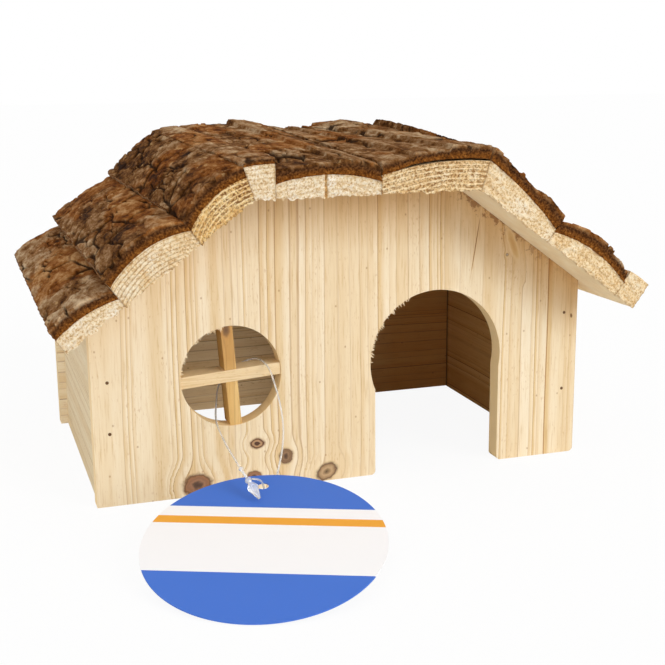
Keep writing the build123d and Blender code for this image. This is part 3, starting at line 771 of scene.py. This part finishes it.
def make_bark_material():
    """Pine bark: dry brown flakes, grey in some patches and rust in others, with near-black fissures, partly
    their darker bark and partly painted shade, and a few pale flecks. Its sawn ends are granular rust by the
    wood, its sawn sides pale brown. Grit is 2.4 mm, longer along the boards, and patches of colour are 6 and
    11 mm."""
    material, shader, node = new_material("pine_bark")
    tone = node("Attribute", out=None, attribute_name="tone")
    whole, layer, slow = node("SeparateColor", (tone["Color"],), None)
    cut = tone["Alpha"]
    where = node("TexCoord", out="Object")
    lengthwise = node("VectorMath MULTIPLY", (where, (1, 0.42, 1)))
    grit, patch, fleck, broad, grain = (
        node("TexNoise", {"Vector": place, "Scale": per(size), "Detail": detail, "Roughness": rough})
        for place, size, detail, rough in (
            (lengthwise, 2.4, 7.0, 0.78), (lengthwise, 11, 5.0, 0.65), (lengthwise, 2.4, 2.0, 0.5),
            (lengthwise, 6, 3.0, 0.55), (where, 0.9, 3.0, 0.65)))
    high = node("Math MULTIPLY_ADD", (layer, 0.24, -0.067))
    patched = node("Math MULTIPLY_ADD", (broad, 0.45, high))
    value = node("Math MULTIPLY_ADD", (grit, 0.62, patched))
    grey = node("ValToRGB", (value,), stops=[
        (0.43, "#241003"), (0.51, "#573414"), (0.585, "#80562f"), (0.66, "#a07c57"), (0.78, "#d0b490")])
    rust = node("ValToRGB", (value,), stops=[
        (0.43, "#261002"), (0.51, "#582e0b"), (0.585, "#824b1c"), (0.66, "#9c6838"), (0.78, "#c69a68")])
    rusty = node("MapRange", (node("Math ADD", (patch, slow)), 0.91, 1.19))
    layers = node("Mix", {0: rusty, 6: grey, 7: rust}, **MIX)
    bright = node("MapRange", (fleck, 0.67, 0.72, 0.0, 0.7))
    flecked = node("Mix", {0: bright, 6: layers, 7: "#c09a68"}, **MIX)
    # Fissures and hairline cracks near black: partly their darker bark, partly painted shade in the creases
    deep = node("MapRange", (whole, 0.15, 0.85, 0.9, 0.0))
    top = node("Mix", {0: deep, 6: flecked, 7: "#200d00"}, **MIX)
    near = node("ValToRGB", (grain,), stops=[
        (0.34, "#452409"), (0.48, "#6b3d15"), (0.6, "#885320"), (0.72, "#a87234")])
    far = node("ValToRGB", (grain,), stops=[(0.34, "#29160a"), (0.48, "#4a2c15"), (0.62, "#6b4526")])
    low = node("MapRange", (cut, 0.4, 0.75))
    sawn = node("Mix", {0: low, 6: far, 7: near}, **MIX)
    is_cut = node("MapRange", (cut, 0.05, 0.35))
    ended = node("Mix", {0: is_cut, 6: top, 7: sawn}, **MIX)
    edge = node("ValToRGB", (grit,), stops=[(0.32, "#6a4a30"), (0.5, "#97724f"), (0.68, "#b5926c")])
    is_side = node("MapRange", (cut, 1.4, 1.8))
    mixed = node("Mix", {0: is_side, 6: ended, 7: edge}, **MIX)
    bump = node("Bump", {"Height": grit, "Strength": 0.7, "Distance": 0.7 * MM})
    connect(shader, {"Base Color": mixed, "Normal": bump, "Roughness": 0.9, "Specular IOR Level": 0.05})
    return material


def make_card():
    """Coated card: white with two broad blue bands and a narrow orange one, printed flat and a little
    glossy."""
    material, shader, node = new_material("printed_card")
    where = node("TexCoord", out="Object")
    turn, tilt = radians(TAG_TURN), radians(TAG_TILT)
    up = (sin(turn) * cos(tilt), cos(turn) * cos(tilt), sin(tilt))
    low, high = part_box("swing_tag")
    middle = [(a + b) / 2 for a, b in zip(low, high)]
    from_middle = node("VectorMath SUBTRACT", (where, middle))
    rise = node("VectorMath DOT_PRODUCT", (from_middle, up), "Value")
    share = node("MapRange", (rise, -TAG_HALF_PRINT * MM, TAG_HALF_PRINT * MM))
    bands = node("ValToRGB", (share,), interpolation="CONSTANT", stops=[
        (0.0, "#4474d2"), (0.3, "#fbfafb"), (0.62, "#f0a83c"), (0.67, "#fbfafb"), (0.74, "#4474d2")])
    connect(shader, {"Base Color": bands, "Roughness": 0.5, "Specular IOR Level": 0.25})
    return material


def make_nylon():
    """Clear moulded nylon: nearly colourless, lets light through, smooth."""
    material, shader, _ = new_material("clear_nylon")
    connect(shader, {
        "Base Color": "#fbfcfc", "Transmission Weight": 0.7, "IOR": 1.53, "Roughness": 0.22})
    return material


def make_steel():
    """Plain nail wire: dull dark drawn steel, browned by the wood round it."""
    material, shader, _ = new_material("drawn_steel_wire")
    connect(shader, {"Base Color": "#6b4a2b", "Metallic": 0.4, "Roughness": 0.5})
    return material


def dress(node_name, material):
    """Give a CAD node's object a new material in its only slot."""
    mesh = frame["nodes"][node_name].data
    mesh.materials.clear()
    mesh.materials.append(material)


bark_material = make_bark_material()
log_wood = make_log_wood()
nylon = make_nylon()

# Colours of knots and other marks from their middle outwards
ringed_knot = ("#5b3418", "#3f2210", "#b58f68", "#a9805a", "#4c2b15", "#6a4020", "#dcbb8a")
dark_knot = ("#3d2514", "#6d5038", "#93714f", "#7a5a3c", "#8a6848", "#5a381d", "#d8b684")
grey_knot = ("#4e3722", "#9a7c56", "#bd9c74", "#a98a62", "#93714f", "#553820", "#d8b684")
brown_knot = ("#452e20", "#624634", "#9a6f50", "#8c6144", "#986a46", "#5e3a22", "#dcb988")
dent = ("#5a3a1c", "#6a4826", "#7d5830", "#93703f", "#b58d58", "#c8a678", "#dcbf92")
nail_mark = ("#b5b0a8", "#a39a8e", "#a08565", "#b08c5e", "#c8a678", "#d4b486", "#dcbf92")
smudge = ("#6b4a2e", "#735030", "#7d5832", "#8f6636", "#a5773f", "#b98648", "#c48e48")
crack = ("#8f6234", "#94683a", "#a57848", "#b58a5a", "#c8a070", "#d4b286", "#e0c89c")
torn_strip = ("#c79a5e", "#c99d62", "#cca268", "#d0a970", "#d4b07a", "#d9b886", "#e0c598")

# Each mark: its middle in X and Z and its half sizes in millimetres, its lean in degrees and its colours
FRONT_MARKS = [
    ((-41.7, 20.4), (2.9, 2.1), 0, ringed_knot),
    ((-29.0, 13.2), (2.8, 3.2), 0, dark_knot),
    ((-68.0, 4.8), (5.6, 4.5), 0, brown_knot),
    ((-10.8, 4.1), (4.6, 3.2), 28, grey_knot),
    ((-43.5, 5.9), (2.9, 2.2), 0, brown_knot),
    ((76.7, 99.6), (1.6, 7.3), 20, torn_strip),
    ((74.1, 94.8), (0.9, 0.9), 0, nail_mark),
    ((107.1, 64.9), (0.6, 1.2), 10, dent),
    ((58.9, 101.1), (0.3, 14.2), -9, crack),
]
BAR_MARKS = [((-53.6, 70.8), (1.8, 3.4), 0, smudge)]

# Each tint: its axis, the first and last place along it in millimetres, and the colours there. The back's
# and the right wall's tints are painted light and shade inside the house; the upright bar's is darker towards
# the top.
# Painted light and shade on the back's inner face: lighter on the left, behind the window, darker to the
# right, behind the doorway
BACK_PAINTED_LIGHT_AND_SHADE = [(0, -10, 70, "#ffefd8", "#d1a46a")]
# Painted light and shade on the right wall's inner face: a warmer tint standing in for light bounced between
# the wooden walls, and painted shade in the corner by the back wall
RIGHT_PAINTED_WARMTH_AND_SHADE = [(0, -200, 200, "#fbdcae", "#fbdcae"), (1, 56, 58.5, "#ffffff", "#7a664e")]
BAR_TINTS = [(2, 46, 58, "#ffffff", "#e4d7c5")]

# Axes are numbered 0 for X, 1 for Y and 2 for Z: across the grain, along it, and of an inner face
front_spruce = spruce("planed_spruce_front", 0, 2, "#f2e3c8", "#e0c493", "#b0803f", FRONT_MARKS,
                      rim="#ffe0a8", under_roof=True)
dress("front_panel", front_spruce)
# The back panel's very pale colours are partly painted light for its dim inner face
dress("back_panel", spruce("planed_spruce_back", 2, 0, "#fff3da", "#f2dcb4", "#a0724a", tints=BACK_PAINTED_LIGHT_AND_SHADE,
                           inner=1, rim="#f0d096"))
dress("left_side_wall", spruce("planed_spruce_side", 2, 1, "#f4e3c2", "#ead4aa", "#c4a470"))
# The right wall's warmer colours are partly painted light, for the warm bounced light inside the house
dress("right_side_wall", spruce("planed_spruce_right", 2, 1, "#eddcbc", "#e0c698", "#a87c48",
                                tints=RIGHT_PAINTED_WARMTH_AND_SHADE, inner=0, shift=760.0))
dress("window_bar_across", spruce("spruce_bar_pale", 2, 0, "#efd9b2", "#e2c494", "#c9a26b"))
dress("window_bar_upright", spruce("spruce_bar_honey", 0, 2, "#e5c180", "#d2a55a", "#a87636", BAR_MARKS,
                                   tints=BAR_TINTS))
dress("swing_tag", make_card())
steel = make_steel()
dress("roof_nails", steel)
dress("wall_nails", steel)


# The loop and its lock

def tube_faces(rows, cols):
    """Faces of a tube of rows of points, closed round each row and by a middle point at each end."""
    index = np.arange(rows * cols).reshape(rows, cols)
    after = np.roll(index, -1, axis=1)
    quads = np.stack([index[:-1], after[:-1], after[1:], index[1:]], axis=-1).reshape(-1, 4)
    first, last = np.full(cols, rows * cols), np.full(cols, rows * cols + 1)
    caps = np.concatenate([np.stack([after[0], index[0], first], axis=-1),
                           np.stack([index[-1], after[-1], last], axis=-1)])
    return quads.tolist() + caps.tolist()


def make_loop():
    """The nylon loop: one smooth spline on the route's points, with a round section. Gives the points of
    its line too, read before it has its section."""
    curve = bpy.data.curves.new("tag_loop_line", "CURVE")
    curve.dimensions = "3D"
    curve.resolution_u = 12
    spline = curve.splines.new("NURBS")
    spline.points.add(len(LOOP_ROUTE) - 1)
    for point, (x, y, z) in zip(spline.points, LOOP_ROUTE):
        point.co = (x * MM, y * MM, z * MM, 1)
    spline.order_u = 3
    spline.use_endpoint_u = True
    made = bpy.data.objects.new("tag_loop_line", curve)
    bpy.context.collection.objects.link(made)
    line = bpy.data.meshes.new_from_object(made)
    points = np.empty(3 * len(line.vertices))
    line.vertices.foreach_get("co", points)
    bpy.data.meshes.remove(line)
    curve.bevel_depth = LOOP_DIAMETER / 2 * MM
    curve.bevel_resolution = 4
    curve.use_fill_caps = True
    curve.materials.append(nylon)
    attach(made, "house")
    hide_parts("tag_loop")
    return made, points.reshape(-1, 3) / MM


def make_sleeve(line):
    """The loop's socket by the lock: a round tube along the start of the loop's line, with a collar."""
    run = np.append(0, np.cumsum(np.linalg.norm(np.diff(line, axis=0), axis=1)))
    at = np.linspace(0, SLEEVE_LENGTH, SLEEVE_ROWS)
    middle = np.stack([np.interp(at, run, line[:, k]) for k in range(3)], axis=-1)
    ahead = np.gradient(middle, axis=0)
    ahead = ahead / np.linalg.norm(ahead, axis=-1, keepdims=True)
    side = np.cross(ahead, [0.0, 0.0, 1.0])
    side = side / np.linalg.norm(side, axis=-1, keepdims=True)
    over = np.cross(side, ahead)
    collar = np.exp(-((at - SLEEVE_COLLAR) / SLEEVE_COLLAR_WIDTH) ** 2)
    radius = (SLEEVE_RADIUS + SLEEVE_SWELL * collar)[:, None, None]
    angle = np.linspace(0, 2 * np.pi, SLEEVE_SIDES + 1)[:-1, None]
    points = middle[:, None] + radius * (np.cos(angle) * side[:, None] + np.sin(angle) * over[:, None])
    whole = np.concatenate([points.reshape(-1, 3), middle[[0, -1]]]) * MM
    made = mesh_object("loop_sleeve", whole, tube_faces(*points.shape[:2]))
    made.data.materials.append(nylon)
    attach(made, "house")
    return made


def make_lock():
    """The loop's lock: round-cornered sections carried from the tip to the tail. Half width and half
    height grow to the shoulders, fall to a neck and end in a collar, and a groove runs down the top."""
    hole = np.array(frame["joints"][0]["pos_m"]) / MM
    out = np.array(frame["joints"][0]["axis"])
    across = np.array([cos(radians(TAG_TURN)), -sin(radians(TAG_TURN)), 0.0])
    up = np.cross(out, across)
    turn, rise = radians(LOCK_TURN), radians(LOCK_RISE)
    lift = TAG_THICKNESS / 2 + LOCK_TIP_GAP + LOCK_HEIGHT / 2 * cos(rise)
    tip = hole + LOCK_TIP_SIDE * across - LOCK_TIP_FRONT * up + lift * out
    side = across * cos(turn) + up * sin(turn)
    back = (up * cos(turn) - across * sin(turn)) * cos(rise) + out * sin(rise)
    face = np.cross(side, back)
    around = np.linspace(0, -2 * np.pi, LOCK_SIDES + 1)[:-1]
    at, angle = np.meshgrid(np.linspace(0, LOCK_LENGTH, LOCK_ROWS), around, indexing="ij")
    wide = np.interp(at, LOCK_STATIONS, LOCK_HALF_WIDTHS)
    high = np.interp(at, LOCK_STATIONS, LOCK_HALF_HEIGHTS)
    x = wide * np.sign(np.cos(angle)) * np.abs(np.cos(angle)) ** LOCK_SQUARENESS
    z = high * np.sign(np.sin(angle)) * np.abs(np.sin(angle)) ** LOCK_SQUARENESS
    groove = GROOVE_DEPTH * np.exp(-(x / GROOVE_HALF_WIDTH) ** 2)
    groove = groove * step(*GROOVE_STARTS, at) * (1 - step(*GROOVE_ENDS, at))
    z = z - groove * (np.sin(angle) > 0)
    points = tip + x[..., None] * side + at[..., None] * back + z[..., None] * face
    ends = np.array([tip, tip + LOCK_LENGTH * back])
    whole = np.concatenate([points.reshape(-1, 3), ends]) * MM
    made = mesh_object("lock_dart", whole, tube_faces(*at.shape))
    made.data.materials.append(nylon)
    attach(made, "house")
    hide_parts("tag_lock")
    return made


loop, loop_line = make_loop()
make_lock()
make_sleeve(loop_line)

# The boards of each face lie side by side, and those at a fold lean to meet the next face
SEEDS_PER_BOARD, WOOD_SEED, BARK_SEED = 100, 5, 50
start_of = {face: BOARD_SEAM / 2 for face in FACES}
for number, board in enumerate(BOARDS):
    start = start_of[board.face]
    first_lean = MITRE if start == BOARD_SEAM / 2 else 0
    last_lean = MITRE if board.name == "top_right" else 0
    make_board(board, start, first_lean, last_lean, SEEDS_PER_BOARD * number + WOOD_SEED)
    make_bark(board, start, first_lean, last_lean, SEEDS_PER_BOARD * number + BARK_SEED)
    start_of[board.face] = start + board.width + BOARD_SEAM


# Torn fibres at the window and the doorway

# In millimetres: how far a fibre's foot is sunk in the rim, its least length and half width, and the most
# that chance adds to these
SPLINTER_FOOT = 0.4
SPLINTER_LENGTH, SPLINTER_LONGER = 0.5, 1.7
SPLINTER_HALF_WIDTH, SPLINTER_WIDER = 0.3, 0.35


def make_splinters(name, middle, radius, first, last, count, seed):
    """Torn fibres along part of a round rim: thin pyramids on the rim's front edge, from one angle to
    another, whose tips reach inwards, up or down, 0.5 to 2.2 mm long."""
    i = np.arange(count)
    pick = [lattice(i, 0 * i, seed + k) for k in range(5)]
    angle = np.radians(first + (last - first) * pick[0])
    x = middle[0] + radius * np.cos(angle)
    z = middle[1] + radius * np.sin(angle)
    y = -HOUSE_DEPTH / 2 + 0.05 + pick[1] ** 3
    reach = SPLINTER_LENGTH + SPLINTER_LONGER * pick[2] ** 2
    wide = SPLINTER_HALF_WIDTH + SPLINTER_WIDER * pick[3]
    tip_x = x - 0.75 * reach * np.cos(angle)
    tip_z = z - reach * (0.75 * np.sin(angle) + 1.1 * (pick[4] - 0.4))
    base_x, base_z = x + SPLINTER_FOOT * np.cos(angle), z + SPLINTER_FOOT * np.sin(angle)
    along_x, along_z = -wide * np.sin(angle), wide * np.cos(angle)
    corners = [np.stack([base_x - along_x, y, base_z - along_z], axis=-1),
               np.stack([base_x + along_x, y, base_z + along_z], axis=-1),
               np.stack([base_x, y + wide, base_z], axis=-1),
               np.stack([tip_x, y - 0.3 * pick[4], tip_z], axis=-1)]
    points = np.stack(corners, axis=1).reshape(-1, 3) * MM
    faces = np.array([(0, 1, 2), (0, 3, 1), (1, 3, 2), (2, 3, 0)])
    made = mesh_object(name, points, (4 * i[:, None, None] + faces).reshape(-1, 3))
    made.data.materials.append(front_spruce)
    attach(made, "house")


# The last four are the first and last angle in degrees, how many fibres there are, and the seed
make_splinters("window_splinters", (WINDOW_X, WINDOW_Z), WINDOW_RADIUS, 96, 184, 64, 901)
make_splinters("doorway_splinters", (DOOR_ARCH_X, DOOR_ARCH_Z), DOOR_ARCH_RADIUS, 112, 178, 62, 951)


# Floor and light

# Half the floor's size in metres, its glow for the camera, and the sky's strength as light
FLOOR_HALF, FLOOR_GLOW, SKY_LIGHT = 6.0, 0.93, 0.28

# Each lamp: name, strength, how wide it is, and how far it leans from overhead and turns to the right
LAMPS = [
    ("key", 1.3, 34, 65, 37),
    ("low", 0.42, 24, 80, 34),
    ("fill", 0.95, 90, 66, -58),
    ("top", 0.8, 80, 5, 0),
]


def make_stage():
    """A wide white floor and four soft lamps under an even sky: the key and a lower one from the front
    right, a fill from the left and one from above. To the camera the floor mostly glows white, with a faint
    shadow. The sky is white where it is seen, mirrored or seen through nylon, and dimmer as light."""
    corners = np.array([(-1, -1, 0), (1, -1, 0), (1, 1, 0), (-1, 1, 0)]) * FLOOR_HALF
    floor = mesh_object("floor", corners, np.array([(0, 1, 2, 3)]))
    material, shader, node = new_material("white_floor")
    connect(shader, {"Base Color": "#fafafa", "Roughness": 0.9})
    path = node("LightPath", out=None)
    glow = node("Emission", {"Color": "#ffffff", "Strength": 1.0})
    share = node("Math MULTIPLY", (path["Is Camera Ray"], FLOOR_GLOW))
    both = node("MixShader", (share, shader.outputs[0], glow))
    connect(material.node_tree.nodes["Material Output"], {"Surface": both})
    floor.data.materials.append(material)
    for name, energy, spread, lean, turn in LAMPS:
        lamp = bpy.data.objects.new(name, bpy.data.lights.new(name, "SUN"))
        lamp.data.energy = energy
        lamp.data.angle = radians(spread)
        lamp.rotation_euler = (radians(lean), 0, radians(turn))
        bpy.context.collection.objects.link(lamp)
    world = bpy.context.scene.world or bpy.data.worlds.new("sky")
    bpy.context.scene.world = world
    world.use_nodes = True
    world.node_tree.nodes.clear()
    node = partial(add, world.node_tree)
    path = node("LightPath", out=None)
    seen = node("Math MAXIMUM", (path["Is Camera Ray"], path["Is Glossy Ray"]))
    seen = node("Math MAXIMUM", (seen, path["Is Transmission Ray"]))
    level = node("MapRange", (seen, 0.0, 1.0, SKY_LIGHT, 1.0))
    sky = node("Background", {"Color": "#ffffff", "Strength": level})
    node("OutputWorld", {"Surface": sky}, None)


make_stage()
bpy.context.scene.view_settings.view_transform = "Standard"
